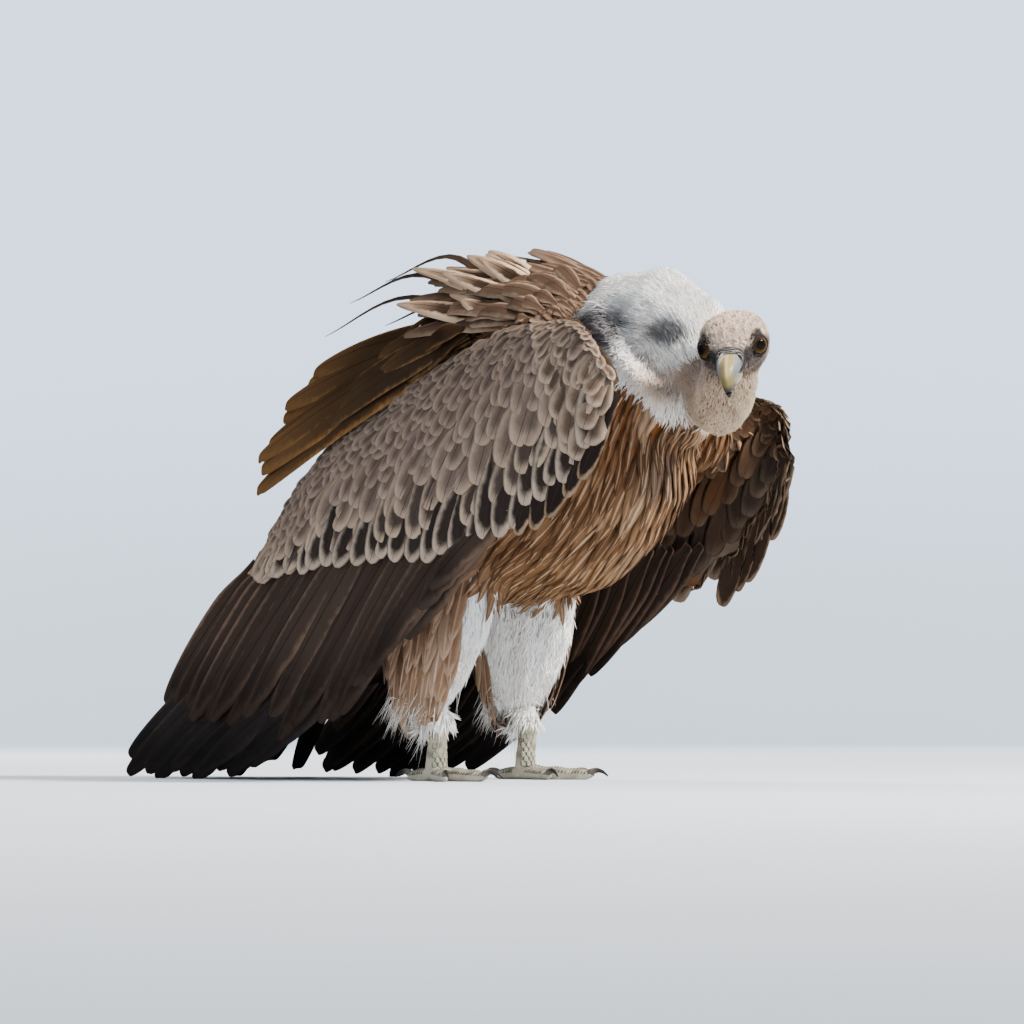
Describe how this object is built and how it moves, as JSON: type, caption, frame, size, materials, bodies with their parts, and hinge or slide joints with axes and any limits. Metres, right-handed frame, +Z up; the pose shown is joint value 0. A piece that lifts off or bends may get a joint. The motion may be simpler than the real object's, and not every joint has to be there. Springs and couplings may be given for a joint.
{
  "type": "griffon vulture",
  "caption": "Still, life-size griffon vulture standing with half-open wings, its neck drawn in and its head turned to its right.",
  "frame": {"origin": "middle of the bird's box, at the floor it stands on", "axes": "+Z up; the bird's breast faces -Y, its tail lies toward +Y and its right side is -X"},
  "size_m": [0.4034, 0.7986, 0.5359],
  "materials": {
    "breast_feather": "soft lanceolate feathers, tawny with pale shaft streaks",
    "white_down": "soft white down",
    "face_down": "short cream down over grey skin",
    "mantle_feather": "long brown feathers, pale edged",
    "covert_feather": "grey-brown coverts with dark centres and pale edges",
    "flight_feather": "dark brown to black vanes, matt",
    "scaled_skin": "grey-yellow scaled skin, matt",
    "bill_horn": "smooth horn, yellowish with blue-grey sides",
    "claw_horn": "dark horn, satin",
    "eye": "wet, amber iris and black pupil"
  },
  "bodies": {
    "root": {"trunk": "breast_feather", "neck_base": "white_down", "neck_front": "white_down", "ruff": "white_down", "head": "face_down", "bill_upper": "bill_horn", "bill_lower": "bill_horn", "mantle": "mantle_feather", "tail": "flight_feather", "eye_right": "eye", "thigh_right": "white_down", "shank_right": "scaled_skin", "foot_right": "scaled_skin", "wing_arm_right": "covert_feather", "secondaries_right": "flight_feather", "primaries_right": "flight_feather", "shoulder_right": "breast_feather", "scapulars_right": "mantle_feather", "claw_inner_right": "claw_horn", "claw_middle_right": "claw_horn", "claw_outer_right": "claw_horn", "claw_hind_right": "claw_horn", "eye_left": "eye", "thigh_left": "white_down", "shank_left": "scaled_skin", "foot_left": "scaled_skin", "wing_arm_left": "covert_feather", "secondaries_left": "flight_feather", "primaries_left": "flight_feather", "shoulder_left": "breast_feather", "scapulars_left": "mantle_feather", "claw_inner_left": "claw_horn", "claw_middle_left": "claw_horn", "claw_outer_left": "claw_horn", "claw_hind_left": "claw_horn"}
  },
  "joints": []
}
